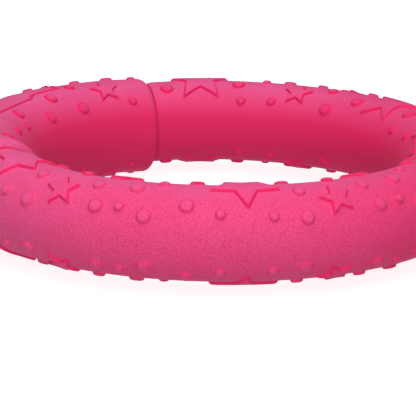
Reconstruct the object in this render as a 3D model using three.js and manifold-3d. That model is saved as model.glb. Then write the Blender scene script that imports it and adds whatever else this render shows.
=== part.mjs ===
// A foam-padded hand hoop for gymnastics and cheerleading practice.
//
// The hoop lies flat: its centre-line is a circle in the XY plane about the origin, and +Z is up.
// Two moulded foam jackets, one long and plain, one short and thicker for the hands, sit on a plastic
// core of two bent tubes. A coupling plugs each pair of tube ends together, and cross pins lock it.
// Angles run round the hoop from +X, counter-clockwise seen from above. A point on the foam is given by
// that angle and by its turn round the tube: 0 faces outward, 90 is the crown, 180 faces the centre.
import * as THREE from 'three';
import { mergeVertices } from 'three/addons/utils/BufferGeometryUtils.js';
import Module from 'manifold-3d';

// Driving dimensions, in millimetres and degrees.
const HOOP_RADIUS = 118; // centre-line of the tube
const FOAM_RADIUS = 22; // long jacket
const GRIP_RADIUS = 25.7; // grip jacket
const GRIP_START = 108; // rear joint
const GRIP_END = 211; // front joint
const CORE_RADIUS = 10; // outside of the plastic tubes
const CORE_WALL = 2;
const GAP = 0.3; // clearance between neighbouring pieces

const SHOULDER_LENGTH = 5; // the grip's end rounds down to the long jacket
const LIP_LENGTH = 1.5; // the long jacket's end rounds into the joint groove
const GROOVE_DEPTH = 1.2;

const SPIGOT_HALF_LENGTH = 30; // how far a coupling reaches into each tube
const SPIGOT_CLEARANCE = 0.5;
const SPIGOT_WALL = 2.7;
const COLLAR_HALF_WIDTH = 1.5; // the ring on a coupling that both tubes butt against
const PIN_RADIUS = 2;
const PIN_OFFSET = 18; // from the joint to each cross pin, along the tube

const RELIEF_HEIGHT = 1.5; // stars and dots stand this proud of the foam
const RELIEF_ROOT = 1.2; // and start this far below its surface
const RELIEF_CREST = 0.9; // the highest motifs are levelled off here, so the hoop lies flat

const JACKET_STEP = 8; // degrees of hoop between stations
const JACKET_SIDES = 16;
const CORE_SIDES = 10;
const DOT_SIDES = 6;

// Where each repeat of the relief begins, in degrees round the hoop. The grip's relief runs the other way.
const LONG_REPEATS = [162.3, 221.1, 277.05, 335.9, 394.8, 453.8, 512.8];
const GRIP_REPEATS = [271.4, 212.4, 153.4, 94.4];

// Half of each outline, from the middle of one end to the middle of the other: X runs along the hoop, and
// Y round the tube, away from the outward side.
const OUTLINES = {
  bigStar: [[0, -17.4], [5, -7], [15.7, -5.9], [8.1, 2.6], [11.2, 17], [0, 9.3]],
  smallStar: [[0, -9.4], [2.35, -3.2], [8.9, -2.9], [3.8, 1.25], [5.5, 7.6], [0, 4]],
  panel: [[0, -7.5], [20, -7], [26, -3.6], [47, -3], [49, 0], [47, 3], [26, 3.6], [20, 7], [0, 7.5]],
};

// The larger motifs of one repeat. `along` is how far through the repeat they are, `round` is the turn
// round the tube, and `spin` turns an outline on the spot. `size` is the radius of a dot. The grip has no
// room for the motifs marked `longOnly`, where its panel is.
const STARS = [
  { outline: 'bigStar', along: 0, round: 90, spin: 0, longOnly: true },
  { outline: 'smallStar', along: 0.315, round: 53, spin: -98 },
  { outline: 'smallStar', along: 0.5055, round: 116, spin: 0 },
];
const DOTS = [
  { along: 0.167, round: 114, size: 3.5 },
  { along: 0.192, round: 32, size: 3.5 },
  { along: 0.314, round: 138, size: 3.5 },
  { along: 0.467, round: 39, size: 3.5 },
  { along: 0.595, round: 72, size: 3.5 },
  { along: 0.645, round: 32, size: 3.5 },
  { along: 0.788, round: 48, size: 3.5 },
  { along: 0.815, round: 105, size: 3.5, longOnly: true },
];
// Dots that only the grip has, beside its panel.
const GRIP_DOTS = [
  { degrees: 150, round: 139, size: 3.5 },
  { degrees: 163, round: 119, size: 3.5 },
];
const WRAP_STEP = 12; // the longest edge of an outline that is bent round the foam

const wasm = await Module();
wasm.setup();
const { degToRad } = THREE.MathUtils;

// A closed three.js geometry as a manifold-3d solid.
function toSolid(geometry) {
  const bare = geometry.clone();
  bare.deleteAttribute('normal');
  bare.deleteAttribute('uv');
  const merged = mergeVertices(bare, 1e-4);
  const vertProperties = new Float32Array(merged.attributes.position.array);
  const triVerts = new Uint32Array(withoutSlivers(merged.index.array));
  return new wasm.Manifold(new wasm.Mesh({ numProp: 3, vertProperties, triVerts }));
}

// Triangles that lost a corner when vertices were merged have no area, and are dropped.
function withoutSlivers(index) {
  const kept = [];
  for (let i = 0; i < index.length; i += 3) {
    const [a, b, c] = index.slice(i, i + 3);
    if (a !== b && b !== c && c !== a) {
      kept.push(a, b, c);
    }
  }
  return kept;
}

function toGeometry(solid) {
  const { vertProperties, triVerts } = solid.getMesh();
  const geometry = new THREE.BufferGeometry();
  geometry.setAttribute('position', new THREE.BufferAttribute(new Float32Array(vertProperties), 3));
  geometry.setIndex(new THREE.BufferAttribute(new Uint32Array(triVerts), 1));
  geometry.computeVertexNormals();
  return geometry;
}

// Degrees of hoop that a length along the centre-line covers.
function arcDegrees(length) {
  return THREE.MathUtils.radToDeg(length / HOOP_RADIUS);
}

function hoopPoint(degrees, outward, up) {
  const angle = degToRad(degrees);
  const reach = HOOP_RADIUS + outward;
  return new THREE.Vector3(reach * Math.cos(angle), reach * Math.sin(angle), up);
}

function mapVertices(geometry, place) {
  const position = geometry.attributes.position;
  const vertex = new THREE.Vector3();
  for (let i = 0; i < position.count; i += 1) {
    vertex.fromBufferAttribute(position, i);
    position.setXYZ(i, ...place(vertex).toArray());
  }
  return geometry;
}

// A sleeve turned on a straight axis and then bent round the hoop. Each profile point is a Vector2 of
// radius and length along the sleeve, listed round the wall's section.
function bentSleeve(profile, sides, startDegrees) {
  const closed = [...profile, profile[0].clone()];
  const sleeve = new THREE.LatheGeometry(closed, sides);
  return mapVertices(sleeve, ({ x, y, z }) => hoopPoint(startDegrees + arcDegrees(y), x, z));
}

// Points at even spacing between two places on a profile, with both ends left out.
function stationsBetween(radius, from, to, steps) {
  const points = [];
  for (let i = 1; i < steps; i += 1) {
    points.push(new THREE.Vector2(radius, from + ((to - from) * i) / steps));
  }
  return points;
}

// A quarter round from the end face up to the full radius, over `run` of length.
function quarterRound(endRadius, fullRadius, run, steps) {
  const points = [];
  for (let i = 0; i <= steps; i += 1) {
    const turn = (i / steps) * (Math.PI / 2);
    const radius = endRadius + (fullRadius - endRadius) * Math.sin(turn);
    points.push(new THREE.Vector2(radius, run * (1 - Math.cos(turn))));
  }
  return points;
}

// A foam jacket from one joint to the next, hollow for the core, with both ends rounded over `run`.
function jacketSleeve(radius, startDegrees, endDegrees, run) {
  const gapDegrees = arcDegrees(GAP / 2);
  const length = degToRad(endDegrees - startDegrees - 2 * gapDegrees) * HOOP_RADIUS;
  const steps = Math.round((endDegrees - startDegrees) / JACKET_STEP);
  const bore = CORE_RADIUS + GAP;
  const nearEnd = quarterRound(FOAM_RADIUS - GROOVE_DEPTH, radius, run, 3);
  const farEnd = nearEnd.map(({ x, y }) => new THREE.Vector2(x, length - y)).reverse();
  const profile = [
    new THREE.Vector2(bore, 0),
    ...nearEnd,
    ...stationsBetween(radius, run, length - run, steps),
    ...farEnd,
    new THREE.Vector2(bore, length),
    ...stationsBetween(bore, length, 0, steps),
  ];
  return toSolid(bentSleeve(profile, JACKET_SIDES, startDegrees + gapDegrees));
}

// A closed flat shape from half of its outline.
function outlineShape(half) {
  const mirrored = half.filter(([x]) => x !== 0).map(([x, y]) => [-x, y]).reverse();
  const corners = [...half, ...mirrored].map(([x, y]) => new THREE.Vector2(x, y));
  return new THREE.Shape(corners);
}

// A flat motif: X runs along the hoop, Y round the tube, and Z out of the foam from 0.
function flatMotif({ outline, size, spin }) {
  const depth = RELIEF_ROOT + RELIEF_HEIGHT;
  if (!outline) {
    const dot = new THREE.CylinderGeometry(size * 0.7, size, depth, DOT_SIDES);
    return dot.rotateX(Math.PI / 2).translate(0, 0, depth / 2);
  }
  const raised = new THREE.ExtrudeGeometry(outlineShape(OUTLINES[outline]), { depth, bevelEnabled: false });
  return raised.rotateZ(degToRad(spin));
}

// Wraps a flat motif onto a jacket, on the crown side (side 1) or mirrored underneath (side -1). `way` is
// -1 where the relief runs backwards.
function wrappedMotif(motif, side, way, radius) {
  const centre = degToRad(side * motif.round);
  const millimetresPerRadian = HOOP_RADIUS + radius * Math.cos(centre);
  const flat = toSolid(flatMotif(motif)).scale([way, side, 1]).refineToLength(WRAP_STEP);
  return toSolid(mapVertices(toGeometry(flat), ({ x, y, z }) => {
    const turn = centre + y / radius;
    const reach = radius - RELIEF_ROOT + z;
    const along = motif.degrees + THREE.MathUtils.radToDeg(x / millimetresPerRadian);
    return hoopPoint(along, reach * Math.cos(turn), reach * Math.sin(turn));
  }));
}

// The motifs of one repeat, each at its own angle round the hoop.
function repeatMotifs(motifs, fromDegrees, toDegrees) {
  return motifs.map((motif) => ({
    ...motif,
    degrees: fromDegrees + (toDegrees - fromDegrees) * motif.along,
  }));
}

// How far a motif reaches along the hoop from its centre.
function halfLength({ outline, size }) {
  return outline ? Math.max(...OUTLINES[outline].map(([x]) => x)) : size;
}

// Every motif that lies wholly on a jacket, on both faces of the hoop.
function reliefOn({ radius, start, end, run, repeats, motifs, extras }) {
  const found = [...extras];
  for (let i = 1; i < repeats.length; i += 1) {
    found.push(...repeatMotifs(motifs, repeats[i - 1], repeats[i]));
  }
  const way = Math.sign(repeats[1] - repeats[0]);
  const solids = [];
  for (const motif of found) {
    const margin = arcDegrees(halfLength(motif) + run);
    if (motif.degrees - margin > start && motif.degrees + margin < end) {
      solids.push(wrappedMotif(motif, 1, way, radius), wrappedMotif(motif, -1, way, radius));
    }
  }
  return solids;
}

// A slab that levels the highest motifs above and below.
function levellingSlab(radius) {
  const span = 3 * (HOOP_RADIUS + radius);
  return toSolid(new THREE.BoxGeometry(span, span, 2 * (radius + RELIEF_CREST)));
}

function foamJacket(jacket) {
  let foam = jacketSleeve(jacket.radius, jacket.start, jacket.end, jacket.run);
  for (const motif of reliefOn(jacket)) {
    foam = foam.add(motif);
  }
  return toGeometry(foam.intersect(levellingSlab(jacket.radius)));
}

// The hole for a cross pin, bored straight down through the core beside a joint.
function pinHole(degrees) {
  const hole = new THREE.CylinderGeometry(PIN_RADIUS + GAP, PIN_RADIUS + GAP, 4 * CORE_RADIUS, CORE_SIDES);
  const { x, y, z } = hoopPoint(degrees, 0, 0);
  return toSolid(hole.rotateX(Math.PI / 2).translate(x, y, z));
}

// A bent tube that stops against the collar of the coupling at each end.
function coreTube(startDegrees, endDegrees) {
  const margin = arcDegrees(COLLAR_HALF_WIDTH + GAP);
  const length = degToRad(endDegrees - startDegrees - 2 * margin) * HOOP_RADIUS;
  const steps = Math.round((endDegrees - startDegrees) / JACKET_STEP);
  const bore = CORE_RADIUS - CORE_WALL;
  const profile = [
    new THREE.Vector2(bore, 0),
    new THREE.Vector2(CORE_RADIUS, 0),
    ...stationsBetween(CORE_RADIUS, 0, length, steps),
    new THREE.Vector2(CORE_RADIUS, length),
    new THREE.Vector2(bore, length),
    ...stationsBetween(bore, length, 0, steps),
  ];
  const tube = toSolid(bentSleeve(profile, CORE_SIDES, startDegrees + margin));
  const nearHole = pinHole(startDegrees + arcDegrees(PIN_OFFSET));
  const farHole = pinHole(endDegrees - arcDegrees(PIN_OFFSET));
  return toGeometry(tube.subtract(nearHole).subtract(farHole));
}

// A coupling: a bent hollow plug with a collar at its middle.
function coupling(jointDegrees) {
  const plug = CORE_RADIUS - CORE_WALL - SPIGOT_CLEARANCE;
  const bore = plug - SPIGOT_WALL;
  const end = SPIGOT_HALF_LENGTH;
  const profile = [
    new THREE.Vector2(bore, -end),
    new THREE.Vector2(plug, -end),
    ...stationsBetween(plug, -end, -COLLAR_HALF_WIDTH, 4),
    new THREE.Vector2(plug, -COLLAR_HALF_WIDTH),
    new THREE.Vector2(CORE_RADIUS, -COLLAR_HALF_WIDTH),
    new THREE.Vector2(CORE_RADIUS, COLLAR_HALF_WIDTH),
    new THREE.Vector2(plug, COLLAR_HALF_WIDTH),
    ...stationsBetween(plug, COLLAR_HALF_WIDTH, end, 4),
    new THREE.Vector2(plug, end),
    new THREE.Vector2(bore, end),
    ...stationsBetween(bore, end, -end, 8),
  ];
  const body = toSolid(bentSleeve(profile, CORE_SIDES, jointDegrees));
  const nearHole = pinHole(jointDegrees - arcDegrees(PIN_OFFSET));
  const farHole = pinHole(jointDegrees + arcDegrees(PIN_OFFSET));
  return toGeometry(body.subtract(nearHole).subtract(farHole));
}

const foamPink = new THREE.MeshStandardMaterial({ color: 0xea2f74, roughness: 0.85, metalness: 0 });
const gripPink = foamPink.clone();
const corePlastic = new THREE.MeshStandardMaterial({ color: 0xe9e6dc, roughness: 0.45, metalness: 0 });
const couplingPlastic = new THREE.MeshStandardMaterial({ color: 0x2e3033, roughness: 0.5, metalness: 0 });
const pinSteel = new THREE.MeshStandardMaterial({ color: 0xb9bcc0, roughness: 0.35, metalness: 1 });

const hoop = new THREE.Group();

function addPiece(name, geometry, material) {
  const mesh = new THREE.Mesh(geometry, material);
  mesh.name = name;
  hoop.add(mesh);
  return mesh;
}

const longStart = GRIP_END;
const longEnd = GRIP_START + 360;
const longJacket = {
  radius: FOAM_RADIUS,
  start: longStart,
  end: longEnd,
  run: LIP_LENGTH,
  repeats: LONG_REPEATS,
  motifs: [...STARS, ...DOTS],
  extras: [],
};
const gripMiddle = (GRIP_START + GRIP_END) / 2;
const gripJacket = {
  radius: GRIP_RADIUS,
  start: GRIP_START,
  end: GRIP_END,
  run: SHOULDER_LENGTH,
  repeats: GRIP_REPEATS,
  motifs: [...STARS, ...DOTS].filter(({ longOnly }) => !longOnly),
  extras: [...GRIP_DOTS, { outline: 'panel', degrees: gripMiddle, round: 90, spin: 0 }],
};
addPiece('long_foam_jacket', foamJacket(longJacket), foamPink);
addPiece('grip_foam_jacket', foamJacket(gripJacket), gripPink);
addPiece('long_core_tube', coreTube(longStart, longEnd), corePlastic);
addPiece('grip_core_tube', coreTube(GRIP_START, GRIP_END), corePlastic);

const JOINTS = { rear: GRIP_START, front: GRIP_END };
for (const [name, degrees] of Object.entries(JOINTS)) {
  addPiece(`${name}_coupling`, coupling(degrees), couplingPlastic);
}

// Each coupling is pinned to the grip tube on one side of its joint and to the long tube on the other.
const PINS = {
  rear_pin_grip_side: GRIP_START + arcDegrees(PIN_OFFSET),
  rear_pin_long_side: GRIP_START - arcDegrees(PIN_OFFSET),
  front_pin_grip_side: GRIP_END - arcDegrees(PIN_OFFSET),
  front_pin_long_side: GRIP_END + arcDegrees(PIN_OFFSET),
};
for (const [name, degrees] of Object.entries(PINS)) {
  const pin = new THREE.CylinderGeometry(PIN_RADIUS, PIN_RADIUS, 2 * (CORE_RADIUS - GAP), CORE_SIDES);
  const mesh = addPiece(name, pin, pinSteel);
  mesh.rotation.x = Math.PI / 2;
  mesh.position.copy(hoopPoint(degrees, 0, 0));
}

export default hoop;
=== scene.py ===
import math

import bpy
import numpy as np
from mathutils import Matrix, Vector, geometry


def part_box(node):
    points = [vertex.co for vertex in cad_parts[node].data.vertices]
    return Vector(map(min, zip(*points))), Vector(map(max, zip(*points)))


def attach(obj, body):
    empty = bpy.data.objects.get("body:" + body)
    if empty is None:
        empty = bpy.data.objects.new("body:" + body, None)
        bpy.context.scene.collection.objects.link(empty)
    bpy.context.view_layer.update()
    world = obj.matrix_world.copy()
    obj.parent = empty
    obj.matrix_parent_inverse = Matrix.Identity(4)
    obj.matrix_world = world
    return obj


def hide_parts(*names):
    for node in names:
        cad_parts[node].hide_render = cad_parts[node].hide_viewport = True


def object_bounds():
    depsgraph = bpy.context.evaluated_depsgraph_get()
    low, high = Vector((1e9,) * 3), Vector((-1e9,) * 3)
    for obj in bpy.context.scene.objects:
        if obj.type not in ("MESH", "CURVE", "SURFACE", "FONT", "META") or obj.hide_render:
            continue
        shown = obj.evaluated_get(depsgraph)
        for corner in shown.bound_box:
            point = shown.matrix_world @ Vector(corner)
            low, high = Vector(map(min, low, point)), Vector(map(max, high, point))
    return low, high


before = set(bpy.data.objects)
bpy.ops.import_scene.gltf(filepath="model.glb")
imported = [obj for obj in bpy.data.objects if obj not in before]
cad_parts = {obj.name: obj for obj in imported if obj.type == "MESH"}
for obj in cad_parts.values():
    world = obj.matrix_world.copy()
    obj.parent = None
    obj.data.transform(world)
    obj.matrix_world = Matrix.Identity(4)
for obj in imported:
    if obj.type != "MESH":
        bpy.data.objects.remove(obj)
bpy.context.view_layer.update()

MM = 0.001


# ---------------------------------------------------------------- the hoop's own dimensions
def centre_of(node):
    low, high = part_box(node)
    return (Vector(low) + Vector(high)) / 2


def angle_of(point):
    return math.atan2(point[1], point[0]) % math.tau


def joint_angle(name):
    """A joint lies midway between the two cross pins of its coupling."""
    pins = [centre_of(f"{name}_pin_{side}_side") for side in ("grip", "long")]
    return angle_of(pins[0] + pins[1])


CREST_LEVEL = 0.9 * MM  # the CAD relief is levelled off this far above the foam
CORE_GAP = 0.3 * MM  # between the core and the bore of the foam
LONG_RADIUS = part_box("long_foam_jacket")[1][2] - CREST_LEVEL
GRIP_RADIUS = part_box("grip_foam_jacket")[1][2] - CREST_LEVEL
HOOP_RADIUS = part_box("long_foam_jacket")[1][1] - LONG_RADIUS
BORE_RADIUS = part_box("long_core_tube")[1][2] + CORE_GAP
GRIP_START = joint_angle("rear")
GRIP_END = joint_angle("front")
HALF_JOINT_GAP = 0.03 * MM  # the soft ends all but touch at a joint

SHOULDER_RUN = 5.0 * MM  # the grip's ends round down over this length
LIP_RUN = 4.0 * MM  # the long jacket's ends round into the joint groove
LIP_MARGIN = 3.0 * MM  # and its relief stays this far from them
GROOVE_DEPTH = 1.2 * MM  # below the long jacket's plain foam
END_SOFTNESS = 0.7  # below 1 the ends round off more steeply at the groove
END_STEPS = 9  # rows of points along a rounded end

RELIEF_HEIGHT = 1.5 * MM
# The foam lies a little uneven: how far each jacket droops, as (degrees round the hoop, millimetres).
LONG_DROOP = [(-149, -2.8), (-136, -0.8), (-115, 0.0), (-20, 0.6), (10, 1.1), (50, 0.0), (93, 0.0),
              (108, 0.6)]
GRIP_DROOP = [(108, 2.1), (124, 1.4), (140, 1.3), (160, 1.8), (185, 0.2), (211, -2.8)]

# Where the relief's repeats begin, in degrees round the hoop. The grip's relief runs the other way.
LONG_REPEATS = [-197.7, -138.9, -82.95, -24.1, 34.8, 93.8, 152.8]
GRIP_REPEATS = [271.4, 212.4, 153.4, 94.4]

# The dots of one repeat: how far through it, the turn round the tube in degrees, and the radius in
# millimetres.
DOTS = [
    (0.167, 114, 3.5), (0.192, 32, 3.5), (0.314, 138, 3.5), (0.467, 39, 3.5), (0.595, 72, 3.5),
    (0.645, 32, 3.5), (0.788, 48, 3.5), (0.815, 105, 3.5), (0.191, 70, 3.0), (0.345, 98, 3.0),
    (0.445, 70, 3.0), (0.082, 35, 2.5), (0.552, 41, 2.5), (0.629, 136, 2.5), (0.69, 88, 2.5),
    (0.79, 138, 2.5), (0.905, 38, 2.5),
]
# Half of each star's outline, from the tip of one point round to the notch opposite, in millimetres
# along the hoop and round the tube.
BIG_STAR = [(0.0, -17.4), (5.0, -7.0), (15.7, -5.9), (8.1, 2.6), (11.2, 17.0), (0.0, 9.3)]
SMALL_STAR = [(0.0, -9.4), (2.35, -3.2), (8.9, -2.9), (3.8, 1.25), (5.5, 7.6), (0.0, 4.0)]
# The stars of one repeat: how far through, the turn in degrees, the outline and its own turn in degrees.
STARS = [(0.0, 90, BIG_STAR, 0), (0.315, 53, SMALL_STAR, -98), (0.5055, 116, SMALL_STAR, 0)]
# The grip has a plain raised panel on its crown, where the long jacket has big stars. This is half of its
# outline, from the middle of one long side round to the middle of the other.
PANEL = [(0.0, -7.5), (20.0, -7.0), (26.0, -3.6), (47.0, -3.0), (49.0, 0.0), (47.0, 3.0), (26.0, 3.6),
         (20.0, 7.0), (0.0, 7.5)]
PANEL_SHARE = 0.55  # of the height of the other relief
# Each jacket also has dots of its own: the angle round the hoop, the turn, and the radius.
LONG_EXTRAS = [(-145.7, 100, 3.5)]
GRIP_EXTRAS = [(150.0, 139, 3.5), (163.0, 119, 3.5)]

# A dot's rings: share of its radius, share of the relief's height.
DOT_RINGS = [(1.13, 0.0), (1.03, 0.08), (0.97, 0.33), (0.9, 0.62), (0.78, 0.83), (0.56, 0.95), (0.28, 1.0)]
MIN_DOT_SIDES = 16
POINT_ANGLE = math.radians(90)  # a corner sharper than this is a point
POINT_CUT = 1.2 * MM  # how far a point is rounded
OTHER_CUT = 0.5 * MM  # and any other corner
CORNER_STEPS = 3
# The rings of a star or panel: millimetres inside its nearest edges, and the share of its height.
EDGE_RINGS = [(-0.4, 0.0), (-0.12, 0.07), (0.06, 0.33), (0.26, 0.7), (0.55, 0.89), (1.0, 1.0)]
# How much painted shade (up to 1) or painted highlight (down to -1) the foam's colour takes on the relief.
# Stars and the panel have painted shade on their sides and plain tops. Dots inside the hoop have it on their
# sides and somewhat on their tops. The others, up to this turn, have less on their sides and a painted
# highlight on top.
LIT_DOT_TURN = math.radians(95)
LIT_DOT_SIDE_SHADE = 0.35
LIT_DOT_TOP_HIGHLIGHT = -0.2
INNER_DOT_TOP_SHADE = 0.4
FOOT_SHARE = 0.05  # of a motif's height, where its foot ends and its side begins
SIDE_SHARE = 0.9  # and where its side ends and its top begins
GROOVE_FLOOR = 0.4 * MM  # the stretch at each end of a jacket, the groove's floor, that gets the same painted shade
UNDERSIDE_SHIFT = 0.18  # of half a turn, by which the underside counts as further in, for the inner painted shade

BASE_SPACING = 2.3 * MM  # between points of the plain foam
RING_SPACING = 0.85 * MM  # between points round a motif
BORE_SPACING = 8 * MM  # between rows of points along the bore
CLEARANCE = 1.0 * MM  # between a motif's foot and the plain grid round it
MERGE_WITHIN = 1e-9  # points of the sheet this close are one


# ---------------------------------------------------------------- relief
def rounded_corner(before, corner, after, cut, steps):
    """Points of a small curve in place of a corner."""
    start = corner + (before - corner).normalized() * cut
    end = corner + (after - corner).normalized() * cut
    points = []
    for i in range(steps + 1):
        t = i / steps
        points.append(start * (1 - t) ** 2 + corner * 2 * t * (1 - t) + end * t ** 2)
    return points


def subdivided(points, spacing):
    """A closed outline with extra points along its longer edges."""
    result = []
    for here, there in zip(points, points[1:] + points[:1]):
        steps = max(1, round((there - here).length / spacing))
        result += [here.lerp(there, i / steps) for i in range(steps)]
    return result


def closed_outline(half, turn):
    """A whole outline from one half of it, with its corners rounded, turned on the spot."""
    mirrored = [(-x, y) for x, y in reversed(half) if x]
    corners = [Vector(corner) * MM for corner in half + mirrored]
    spin = Matrix.Rotation(math.radians(turn), 2)
    corners = [spin @ corner for corner in corners]
    count = len(corners)
    points = []
    for i, corner in enumerate(corners):
        before, after = corners[i - 1], corners[(i + 1) % count]
        inside = (before - corner).angle(after - corner)
        cut = POINT_CUT if inside < POINT_ANGLE else OTHER_CUT
        points += rounded_corner(before, corner, after, cut, CORNER_STEPS)
    return subdivided(points, RING_SPACING)


def edge_distance(outline):
    """How far the middle of the outline's nearest edge is from its centre."""
    return min((here + there).length / 2 for here, there in zip(outline, outline[1:]))


def edge_rings(half, turn=0.0, share=1.0):
    """(outline, height share) from the foot of a star or panel inwards."""
    outline = closed_outline(half, turn)
    reach = edge_distance(outline)
    scales = [(1 - inset * MM / reach, share * height) for inset, height in EDGE_RINGS]
    return [([p * scale for p in outline], height) for scale, height in scales]


def dot_rings(size):
    """(outline, height share) from the foot of a dot inwards."""
    count = max(MIN_DOT_SIDES, round(math.tau * size / RING_SPACING))
    circle = [Vector((math.cos(math.tau * i / count), math.sin(math.tau * i / count))) for i in range(count)]
    return [([p * size * share for p in circle], height) for share, height in DOT_RINGS]


def placed_angle(repeats, place):
    """The angle at a place such as 2.25, a quarter of the way from repeat 2 to repeat 3."""
    whole = math.floor(place)
    return math.radians(repeats[whole] + (repeats[whole + 1] - repeats[whole]) * (place - whole))


def own_dots(dots):
    """A jacket's own dots, in the form that motifs() takes."""
    return [(math.radians(angle), turn, dot_rings(size * MM), True) for angle, turn, size in dots]


def motifs(jacket):
    """Every motif that lies wholly on a jacket, on top and mirrored below: (angle, turn, rings, is_dot)."""
    repeats = jacket["repeats"]
    forward = 1 if repeats[1] > repeats[0] else -1
    found = []
    for repeat in range(len(repeats) - 1):
        for share, turn, size in DOTS:
            found.append((placed_angle(repeats, repeat + share), turn, dot_rings(size * MM), True))
        for share, turn, half, own_turn in STARS:
            if half is not jacket["leave_out"]:
                rings = edge_rings(half, own_turn)
                found.append((placed_angle(repeats, repeat + share), turn, rings, False))
    placed = []
    for angle, turn, rings, is_dot in jacket["extras"] + found:
        margin = max(abs(p.x) for p in rings[0][0]) + jacket["margin"]
        if jacket["start"] + margin / HOOP_RADIUS < angle < jacket["end"] - margin / HOOP_RADIUS:
            for side in (1, -1):
                mirrored = [([Vector((forward * p.x, side * p.y)) for p in ring], h) for ring, h in rings]
                placed.append((angle, side * math.radians(turn), mirrored, is_dot))
    return placed


# ---------------------------------------------------------------- foam jackets
def end_profile(jacket):
    """Lengths along the jacket where its rounded end needs stations, from the end face inwards."""
    return [jacket["run"] * (1 - math.cos(math.pi / 2 * i / END_STEPS)) for i in range(END_STEPS + 1)]


def foam_radius(jacket, along):
    """The radius of the plain foam at a length along the jacket."""
    from_end = min(along, jacket["length"] - along)
    end_radius = LONG_RADIUS - GROOVE_DEPTH
    share = min(1.0, max(0.0, from_end) / jacket["run"])
    return end_radius + (jacket["radius"] - end_radius) * math.sin(math.pi / 2 * share ** END_SOFTNESS)


def hoop_point(jacket, along, turn, reach):
    angle = jacket["first_angle"] + along / HOOP_RADIUS
    out = HOOP_RADIUS + reach * math.cos(turn)
    return Vector((out * math.cos(angle), out * math.sin(angle), reach * math.sin(turn)))


def droop(jacket, along):
    """How far the skin hangs below its true place at a length along the jacket."""
    angle = math.degrees(jacket["first_angle"] + along / HOOP_RADIUS)
    table = jacket["droop"]
    for (before, low), (after, high) in zip(table, table[1:]):
        if angle <= after or (after, high) == table[-1]:
            t = min(1.0, max(0.0, (angle - before) / (after - before)))
            return (low + (high - low) * t * t * (3 - 2 * t)) * MM


def jacket_stations(jacket):
    """Lengths along the jacket where its skin has a row of points."""
    ends = end_profile(jacket)
    middle = jacket["length"] - 2 * jacket["run"]
    steps = round(middle / BASE_SPACING)
    inner = [jacket["run"] + middle * i / steps for i in range(1, steps)]
    return ends + inner + [jacket["length"] - e for e in reversed(ends)]


class Sheet:
    """The jacket's outer skin, unrolled flat: points along the hoop and round the tube."""

    def __init__(self, jacket):
        self.jacket = jacket
        self.points = []
        self.heights = []
        self.painted_shadings = []
        self.edges = []
        self.rows = []
        self.stations = jacket_stations(jacket)
        self.columns = round(math.tau * jacket["radius"] / BASE_SPACING)
        self.half_width = math.pi * jacket["radius"]

    def add_point(self, along, around, height=0.0, painted_shading=0.0):
        self.points.append(Vector((along, around)))
        self.heights.append(height)
        self.painted_shadings.append(painted_shading)
        return len(self.points) - 1

    def add_base(self, keep_clear):
        """A grid of points, left out under and close beside each motif."""
        for row, along in enumerate(self.stations):
            on_end = row in (0, len(self.stations) - 1)
            indices = []
            for column in range(self.columns + 1):
                around = (2 * column / self.columns - 1) * self.half_width
                on_seam = column in (0, self.columns)
                if on_end or on_seam or not keep_clear(along, around):
                    from_end = min(along, self.jacket["length"] - along)
                    # Painted shade on the floor of the joint's groove.
                    painted_shading = 1.0 if from_end < GROOVE_FLOOR else 0.0
                    indices.append(self.add_point(along, around, 0.0, painted_shading))
                else:
                    indices.append(None)
            self.rows.append(indices)

    def add_motif(self, along, around, stretch, rings, is_dot):
        """Rings of points joined by edges, from the foot to the crest, with one point at the centre."""
        # Dots up to this turn get a painted highlight on top and less painted shade on their sides; the
        # others get painted shade on top.
        highlit = abs(around) < LIT_DOT_TURN * self.jacket["radius"]
        side = LIT_DOT_SIDE_SHADE if is_dot and highlit else 1.0
        top = (LIT_DOT_TOP_HIGHLIGHT if highlit else INNER_DOT_TOP_SHADE) if is_dot else 0.0
        crest = rings[-1][1]
        for outline, height in rings:
            share = height / crest
            painted_shading = side if FOOT_SHARE < share < SIDE_SHARE else top * (share >= SIDE_SHARE)
            first = len(self.points)
            for p in outline:
                self.add_point(along + p.x * stretch, around + p.y, height * RELIEF_HEIGHT, painted_shading)
            count = len(outline)
            self.edges += [(first + i, first + (i + 1) % count) for i in range(count)]
        self.add_point(along, around, crest * RELIEF_HEIGHT, top)

    def triangulated(self):
        """Triangles over the points, with the two long edges of the sheet joined to each other."""
        _, _, faces, sources, _, _ = geometry.delaunay_2d_cdt(self.points, self.edges, [], 0, MERGE_WITHIN)
        joined = {row[-1]: row[0] for row in self.rows}
        source = [joined.get(s[0], s[0]) for s in sources]
        return [tuple(source[v] for v in face) for face in faces]


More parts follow.
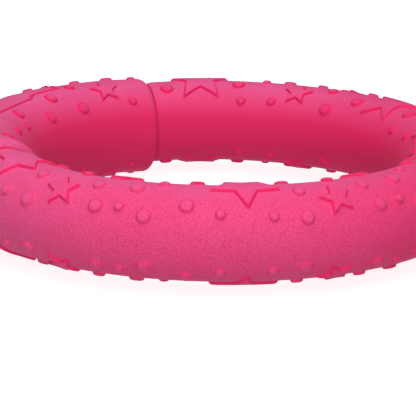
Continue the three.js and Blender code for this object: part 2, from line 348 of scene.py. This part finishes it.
def build_jacket(name, jacket):
    """A jacket's skin with its relief, closed by its two end faces and the bore."""
    jacket["first_angle"] = jacket["start"] + HALF_JOINT_GAP / HOOP_RADIUS
    jacket["length"] = (jacket["end"] - jacket["start"]) * HOOP_RADIUS - 2 * HALF_JOINT_GAP
    sheet = Sheet(jacket)
    placed, feet = [], []
    extras = 2 * len(jacket["extras"])  # these come first, above and below, and displace what they overlap
    for angle, turn, rings, is_dot in motifs(jacket):
        along = (angle - jacket["first_angle"]) * HOOP_RADIUS
        around = turn * jacket["radius"]
        stretch = HOOP_RADIUS / (HOOP_RADIUS + jacket["radius"] * math.cos(turn))
        foot = np.array([(along + p.x * stretch, around + p.y) for p in rings[0][0]])
        if len(feet) < extras or not any(overlap(foot, extra) for extra in feet[:extras]):
            placed.append((along, around, stretch, rings, is_dot))
            feet.append(foot)

    centres = np.array([(along, around) for along, around, *_ in placed])
    reaches = np.array([np.hypot(*(foot - centre).T).max() for foot, centre in zip(feet, centres)])

    def keep_clear(along, around):
        gaps = np.hypot(centres[:, 0] - along, centres[:, 1] - around)
        for i in np.nonzero(gaps < reaches + CLEARANCE)[0]:
            near = np.hypot(feet[i][:, 0] - along, feet[i][:, 1] - around).min() < CLEARANCE
            if near or inside_outline(along, around, feet[i]):
                return True
        return False

    sheet.add_base(keep_clear)
    for motif in placed:
        sheet.add_motif(*motif)
    faces = sheet.triangulated()

    verts = []
    for point, height in zip(sheet.points, sheet.heights):
        along, around = point
        reach = foam_radius(jacket, along) + height
        vert = hoop_point(jacket, along, around / jacket["radius"], reach)
        vert.z -= droop(jacket, along)
        verts.append(vert)
    painted_shadings = list(sheet.painted_shadings)
    inner_faces = bore_faces(sheet, jacket, verts, painted_shadings)
    flat_ends = [i < sheet.columns or i >= len(inner_faces) - sheet.columns for i in range(len(inner_faces))]
    flat = [False] * len(faces) + flat_ends
    return foam_object(name, verts, faces + inner_faces, flat, painted_shadings)


def inside_outline(x, y, outline):
    """Whether a point lies within a closed outline, by counting the edges a ray crosses."""
    x1, y1 = outline[:, 0], outline[:, 1]
    x2, y2 = np.roll(x1, -1), np.roll(y1, -1)
    spans = (y1 > y) != (y2 > y)
    crossing = x1 + (y - y1) * (x2 - x1) / np.where(y2 == y1, 1e-12, y2 - y1)
    return bool(np.count_nonzero(spans & (x < crossing)) % 2)


def overlap(first, second):
    """Whether either outline has a corner inside the other."""
    into_second = any(inside_outline(x, y, second) for x, y in first)
    return into_second or any(inside_outline(x, y, first) for x, y in second)


def bore_faces(sheet, jacket, verts, painted_shadings):
    """The two end faces and the bore that the core runs through."""
    steps = round(jacket["length"] / BORE_SPACING)
    columns = sheet.columns
    rings = [sheet.rows[0][:-1]]
    for i in range(steps + 1):
        along = jacket["length"] * i / steps
        ring = []
        for column in range(columns):
            turn = (2 * column / columns - 1) * math.pi
            verts.append(hoop_point(jacket, along, turn, BORE_RADIUS))
            painted_shadings.append(0.0)
            ring.append(len(verts) - 1)
        rings.append(ring)
    rings.append(sheet.rows[-1][:-1])
    faces = []
    for near, far in zip(rings, rings[1:]):
        for i in range(columns):
            j = (i + 1) % columns
            faces.append((near[i], far[i], far[j], near[j]))
    return faces


def turn_share(vert):
    """The turn round the tube as a share of half a turn: 0 outward, 0.5 at the crown, 1 inward.

    The underside takes the inner painted shade sooner, so its inner half counts as further in than it is.
    """
    turn = math.atan2(vert.z, math.hypot(vert.x, vert.y) - HOOP_RADIUS)
    share = abs(turn) / math.pi
    if turn >= 0:
        return share
    past_lowest = min(1.0, max(0.0, (share - 0.5) / UNDERSIDE_SHIFT))
    return min(1.0, share + UNDERSIDE_SHIFT * past_lowest)


def foam_object(name, verts, faces, flat, painted_shadings):
    """A mesh object of the vertices in use, with what its material reads stored on them."""
    used = sorted({v for face in faces for v in face})
    index = {v: i for i, v in enumerate(used)}
    mesh = bpy.data.meshes.new(name)
    mesh.from_pydata([verts[v] for v in used], [], [[index[v] for v in face] for face in faces])
    # Painted shade (above 0) and painted highlight (below 0), for the material to read.
    attribute = mesh.attributes.new("painted_shading", "FLOAT", "POINT")
    attribute.data.foreach_set("value", [painted_shadings[v] for v in used])
    attribute = mesh.attributes.new("turn_share", "FLOAT", "POINT")
    attribute.data.foreach_set("value", [turn_share(verts[v]) for v in used])
    mesh.polygons.foreach_set("use_smooth", [not is_flat for is_flat in flat])
    mesh.validate()
    piece = bpy.data.objects.new(name, mesh)
    bpy.context.scene.collection.objects.link(piece)
    return piece


# ---------------------------------------------------------------- materials
class Nodes:
    """A short way to write a node material."""

    def __init__(self, name):
        self.material = bpy.data.materials.new(name)
        self.material.use_nodes = True
        self.tree = self.material.node_tree
        self.shader = self.tree.nodes["Principled BSDF"]
        self.coordinates = self.tree.nodes.new("ShaderNodeTexCoord").outputs["Object"]

    def link(self, output, socket):
        self.tree.links.new(output, socket)

    def noise(self, scale, detail=2.0, roughness=0.5):
        node = self.tree.nodes.new("ShaderNodeTexNoise")
        node.inputs["Scale"].default_value = scale
        node.inputs["Detail"].default_value = detail
        node.inputs["Roughness"].default_value = roughness
        self.link(self.coordinates, node.inputs["Vector"])
        return node.outputs["Fac"]

    def remap(self, value, low, high, to_low=0.0, to_high=1.0):
        node = self.tree.nodes.new("ShaderNodeMapRange")
        self.link(value, node.inputs["Value"])
        node.inputs["From Min"].default_value = low
        node.inputs["From Max"].default_value = high
        node.inputs["To Min"].default_value = to_low
        node.inputs["To Max"].default_value = to_high
        return node.outputs["Result"]

    def mix(self, factor, first, second):
        node = self.tree.nodes.new("ShaderNodeMix")
        node.data_type = "RGBA"
        self.link(factor, node.inputs["Factor"])
        for socket, value in ((node.inputs[6], first), (node.inputs[7], second)):
            if isinstance(value, tuple):
                socket.default_value = (*value, 1.0)
            else:
                self.link(value, socket)
        return node.outputs[2]

    def across(self):
        """The X coordinate."""
        node = self.tree.nodes.new("ShaderNodeSeparateXYZ")
        self.link(self.coordinates, node.inputs["Vector"])
        return node.outputs["X"]

    def attribute(self, name):
        node = self.tree.nodes.new("ShaderNodeAttribute")
        node.attribute_name = name
        return node.outputs["Fac"]

    def bump(self, height, strength, distance, before=None):
        node = self.tree.nodes.new("ShaderNodeBump")
        node.inputs["Strength"].default_value = strength
        node.inputs["Distance"].default_value = distance
        self.link(height, node.inputs["Height"])
        if before is not None:
            self.link(before, node.inputs["Normal"])
        return node.outputs["Normal"]

    def set(self, **values):
        for name, value in values.items():
            self.shader.inputs[name.replace("_", " ")].default_value = value


# The foam's deep and pale flecks, on each side of the tube; the crown's colours hold painted sheen, the
# inner ones painted shade.
FOAM_OUTER = (0.69, 0.020, 0.120)
FOAM_OUTER_PALE = (0.71, 0.088, 0.254)
FOAM_CROWN_SHEEN = (0.70, 0.046, 0.185)
FOAM_CROWN_SHEEN_PALE = (0.73, 0.118, 0.310)
FOAM_INNER_SHADE = (0.69, 0.015, 0.101)
FOAM_INNER_SHADE_PALE = (0.70, 0.021, 0.117)
FOAM_WALL_SHADE = (0.75, 0.017, 0.122)  # painted shade on the sides of the relief and the floor of a joint's groove
# Painted light drifts a little across the hoop: painted sheen on the grip's side, and painted shade on the
# other.
FOAM_SHEEN = (0.70, 0.064, 0.215)
FOAM_SHEEN_PALE = (0.72, 0.152, 0.365)
FOAM_RIGHT_SHADE = (0.68, 0.004, 0.085)
# Where outer turns to the crown's painted sheen, and that to the inner painted shade, as shares of half a
# turn.
CROWN_BLEND = (0.3, 0.52)
INNER_BLEND = (0.62, 0.9)
# Where the painted sheen and shade start and are fullest, as metres to the right of the hoop's centre, and
# their most.
SHEEN_BLEND = (-0.04, -0.14)
SHEEN_MOST = 0.6
SHADE_BLEND = (0.04, 0.13)
SHADE_MOST = 0.5
CLOUD_MOST = 0.2  # of the paler inner colour, in soft clouds

NOISE_SPAN = (0.3, 0.7)  # where most of a noise's values lie
SPECK_SPAN = (0.32, 0.68)  # a little narrower, for crisper flecks
# Noise scales of the foam, the strength and depth of its bumps, and its range of roughness.
GRAIN_SCALE = 1600
GRAIN_SHIFT = 40  # so that the two jackets' grain differs
CLOUD_SCALE = 45
LUMP_SCALE = 260
PORE_BUMP = (0.4, 0.12 * MM)
LUMP_BUMP = (0.12, 0.25 * MM)
FOAM_ROUGHNESS = (0.68, 0.9)
SHEEN_TINT = (1.0, 0.85, 0.92, 1.0)

# The core: each pair is a colour and the shade it is mottled with.
TUBE_COLOURS = ((0.82, 0.80, 0.74), (0.74, 0.72, 0.66))
TUBE_ROUGHNESS = (0.36, 0.5)
COUPLING_COLOURS = ((0.035, 0.037, 0.04), (0.05, 0.052, 0.056))
COUPLING_ROUGHNESS = (0.44, 0.58)
STEEL_COLOURS = ((0.60, 0.61, 0.63), (0.48, 0.49, 0.51))
STEEL_ROUGHNESS = (0.26, 0.42)
FLOW_SCALE = 90
PLASTIC_GRAIN_SCALE = 700
STEEL_MARK_SCALE = 900


def foam_material(name, scale_shift):
    """Matt closed-cell foam with a velvety grain. Its colour holds painted sheen on the crown, the grip's
    side and the outer dots' tops, and painted shade inside the hoop, on the other side and on relief sides.
    """
    nodes = Nodes(name)
    grain = nodes.noise(GRAIN_SCALE + scale_shift, detail=2.5, roughness=0.6)
    speck = nodes.remap(grain, *SPECK_SPAN)
    cloud = nodes.remap(nodes.noise(CLOUD_SCALE), *NOISE_SPAN, 0.0, CLOUD_MOST)
    outer = nodes.mix(speck, FOAM_OUTER, FOAM_OUTER_PALE)
    crown = nodes.mix(speck, FOAM_CROWN_SHEEN, FOAM_CROWN_SHEEN_PALE)
    painted_sheen = nodes.mix(speck, FOAM_SHEEN, FOAM_SHEEN_PALE)
    inner = nodes.mix(speck, FOAM_INNER_SHADE, FOAM_INNER_SHADE_PALE)
    turn = nodes.attribute("turn_share")
    across = nodes.across()
    # Painted sheen on the crown, and painted shade inside the hoop.
    body = nodes.mix(nodes.remap(turn, *CROWN_BLEND), outer, crown)
    # Painted sheen on the grip's side of the hoop.
    body = nodes.mix(nodes.remap(across, *SHEEN_BLEND, 0.0, SHEEN_MOST), body, painted_sheen)
    body = nodes.mix(nodes.remap(turn, *INNER_BLEND), body, inner)
    body = nodes.mix(cloud, body, FOAM_INNER_SHADE_PALE)
    # Painted shade on the other side.
    body = nodes.mix(nodes.remap(across, *SHADE_BLEND, 0.0, SHADE_MOST), body, FOAM_RIGHT_SHADE)
    painted_shading = nodes.attribute("painted_shading")
    # Painted highlight on the outer dots' tops, then painted shade on relief sides and the groove's floor.
    body = nodes.mix(nodes.remap(painted_shading, 0.0, -1.0), body, painted_sheen)
    colour = nodes.mix(nodes.remap(painted_shading, 0.0, 1.0), body, FOAM_WALL_SHADE)
    nodes.link(colour, nodes.shader.inputs["Base Color"])
    nodes.link(nodes.remap(grain, *NOISE_SPAN, *FOAM_ROUGHNESS), nodes.shader.inputs["Roughness"])
    pores = nodes.bump(grain, *PORE_BUMP)
    lumps = nodes.bump(nodes.noise(LUMP_SCALE, detail=1.0), *LUMP_BUMP, pores)
    nodes.link(lumps, nodes.shader.inputs["Normal"])
    nodes.set(Sheen_Weight=0.05, Sheen_Roughness=0.4, Specular_IOR_Level=0.2)
    nodes.set(Sheen_Tint=SHEEN_TINT)
    return nodes.material


def plastic_material(name, colours, roughness):
    """Moulded or extruded plastic with faint flow marks."""
    nodes = Nodes(name)
    flow = nodes.noise(FLOW_SCALE, detail=3.0)
    nodes.link(nodes.mix(nodes.remap(flow, *NOISE_SPAN), *colours), nodes.shader.inputs["Base Color"])
    nodes.link(nodes.remap(flow, *NOISE_SPAN, *roughness), nodes.shader.inputs["Roughness"])
    grain = nodes.bump(nodes.noise(PLASTIC_GRAIN_SCALE), strength=0.15, distance=0.05 * MM)
    nodes.link(grain, nodes.shader.inputs["Normal"])
    return nodes.material


def steel_material(name):
    """Ground steel with fine marks."""
    nodes = Nodes(name)
    marks = nodes.noise(STEEL_MARK_SCALE, detail=3.0)
    mottled = nodes.mix(nodes.remap(marks, *NOISE_SPAN), *STEEL_COLOURS)
    nodes.link(mottled, nodes.shader.inputs["Base Color"])
    nodes.link(nodes.remap(marks, *NOISE_SPAN, *STEEL_ROUGHNESS), nodes.shader.inputs["Roughness"])
    nodes.link(nodes.bump(marks, strength=0.1, distance=0.03 * MM), nodes.shader.inputs["Normal"])
    nodes.set(Metallic=1.0)
    return nodes.material


def give_material(piece, material):
    piece.data.materials.clear()
    piece.data.materials.append(material)


# ---------------------------------------------------------------- stage
CAMERA_ELEVATION = math.radians(13.94)
CAMERA_DISTANCE = 9.4255 * HOOP_RADIUS
CAMERA_LENS = 189.76
CAMERA_TILT = math.radians(-0.977)  # aimed a little below and left of the hoop's centre
CAMERA_PAN = math.radians(0.0917)
CAMERA_ROLL = math.radians(0.93)
LIGHT_SIZE = 1.3
# Each light's name, place and watts. All of them face the hoop's centre.
LIGHTS = [
    ("key", (0.0, -1.1, 1.2), 12), ("top", (0.0, 0.0, 1.7), 15), ("low", (0.0, -1.6, 0.35), 12),
]
WORLD_ABOVE = 0.18
WORLD_BELOW = 0.62
HORIZON = 0.15  # how far above and below level one turns into the other, as a share of straight up
FLOOR_HALF = 6.0
FLOOR_GREY = (0.4, 0.4, 0.4, 1.0)
FLOOR_GLOW = 0.85
WHITE = (1.0, 1.0, 1.0, 1.0)


def add_camera():
    data = bpy.data.cameras.new("camera")
    data.lens = CAMERA_LENS
    camera = bpy.data.objects.new("camera", data)
    place = Vector((0.0, -math.cos(CAMERA_ELEVATION), math.sin(CAMERA_ELEVATION))) * CAMERA_DISTANCE
    look = (-place).to_track_quat("-Z", "Y").to_matrix().to_4x4()
    turn = Matrix.Rotation(CAMERA_TILT, 4, "X") @ Matrix.Rotation(CAMERA_PAN, 4, "Y")
    turn = turn @ Matrix.Rotation(CAMERA_ROLL, 4, "Z")
    camera.matrix_world = Matrix.Translation(place) @ look @ turn
    bpy.context.scene.collection.objects.link(camera)
    bpy.context.scene.camera = camera


def add_area_light(name, place, watts):
    data = bpy.data.lights.new(name, "AREA")
    data.shape = "DISK"
    data.size = LIGHT_SIZE
    data.energy = watts
    light = bpy.data.objects.new(name, data)
    light.location = place
    light.rotation_euler = (Vector((0, 0, 0)) - Vector(place)).to_track_quat("-Z", "Y").to_euler()
    bpy.context.scene.collection.objects.link(light)


def add_world():
    """A white studio, dim above and brighter below. The floor lets bounced light through from there."""
    world = bpy.data.worlds.new("studio")
    world.use_nodes = True
    tree = world.node_tree
    background = tree.nodes["Background"]
    direction = tree.nodes.new("ShaderNodeTexCoord").outputs["Generated"]
    parts = tree.nodes.new("ShaderNodeSeparateXYZ")
    tree.links.new(direction, parts.inputs["Vector"])
    ramp = tree.nodes.new("ShaderNodeMapRange")
    tree.links.new(parts.outputs["Z"], ramp.inputs["Value"])
    ramp.inputs["From Min"].default_value = -HORIZON
    ramp.inputs["From Max"].default_value = HORIZON
    ramp.inputs["To Min"].default_value = WORLD_BELOW
    ramp.inputs["To Max"].default_value = WORLD_ABOVE
    tree.links.new(ramp.outputs["Result"], background.inputs["Strength"])
    background.inputs["Color"].default_value = WHITE
    bpy.context.scene.world = world


def add_floor(level):
    """A pale, glowing floor for the camera to see, which bounced light passes through."""
    mesh = bpy.data.meshes.new("studio_floor")
    corners = [(x * FLOOR_HALF, y * FLOOR_HALF, level) for x, y in ((-1, -1), (1, -1), (1, 1), (-1, 1))]
    mesh.from_pydata(corners, [], [(0, 1, 2, 3)])
    floor = bpy.data.objects.new("studio_floor", mesh)
    bpy.context.scene.collection.objects.link(floor)
    nodes = Nodes("pale_floor")
    nodes.set(Base_Color=FLOOR_GREY, Roughness=0.9, Specular_IOR_Level=0.1)
    nodes.set(Emission_Color=WHITE, Emission_Strength=FLOOR_GLOW)
    give_material(floor, nodes.material)
    floor.visible_diffuse = False
    floor.visible_glossy = False


# ---------------------------------------------------------------- the scene
add_camera()

panel = ((GRIP_START + GRIP_END) / 2, 90, edge_rings(PANEL, share=PANEL_SHARE), False)
jackets = {
    "long_foam": {
        "node": "long_foam_jacket", "slot": "jacket_foam",
        "start": GRIP_END - math.tau, "end": GRIP_START, "radius": LONG_RADIUS,
        "run": LIP_RUN, "margin": LIP_MARGIN, "droop": LONG_DROOP,
        "repeats": LONG_REPEATS, "leave_out": None, "extras": own_dots(LONG_EXTRAS),
    },
    "grip_foam": {
        "node": "grip_foam_jacket", "slot": "grip_foam",
        "start": GRIP_START, "end": GRIP_END, "radius": GRIP_RADIUS,
        "run": SHOULDER_RUN, "margin": SHOULDER_RUN, "droop": GRIP_DROOP,
        "repeats": GRIP_REPEATS, "leave_out": BIG_STAR, "extras": own_dots(GRIP_EXTRAS) + [panel],
    },
}
for number, (name, jacket) in enumerate(jackets.items()):
    foam = build_jacket(name, jacket)
    give_material(foam, foam_material(f"{name}_pink", GRAIN_SHIFT * number))
    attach(foam, "root")
    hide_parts(jacket["node"])

tube_plastic = plastic_material("tube_polyethylene", TUBE_COLOURS, TUBE_ROUGHNESS)
coupling_plastic = plastic_material("coupling_nylon", COUPLING_COLOURS, COUPLING_ROUGHNESS)
pin_steel = steel_material("pin_steel")
for node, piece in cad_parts.items():
    if node.endswith("core_tube"):
        give_material(piece, tube_plastic)
    elif node.endswith("coupling"):
        give_material(piece, coupling_plastic)
    elif "_pin_" in node:
        give_material(piece, pin_steel)

visual_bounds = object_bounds()
add_floor(visual_bounds[0][2])
add_world()
for light in LIGHTS:
    add_area_light(*light)
bpy.context.scene.view_settings.view_transform = "Standard"
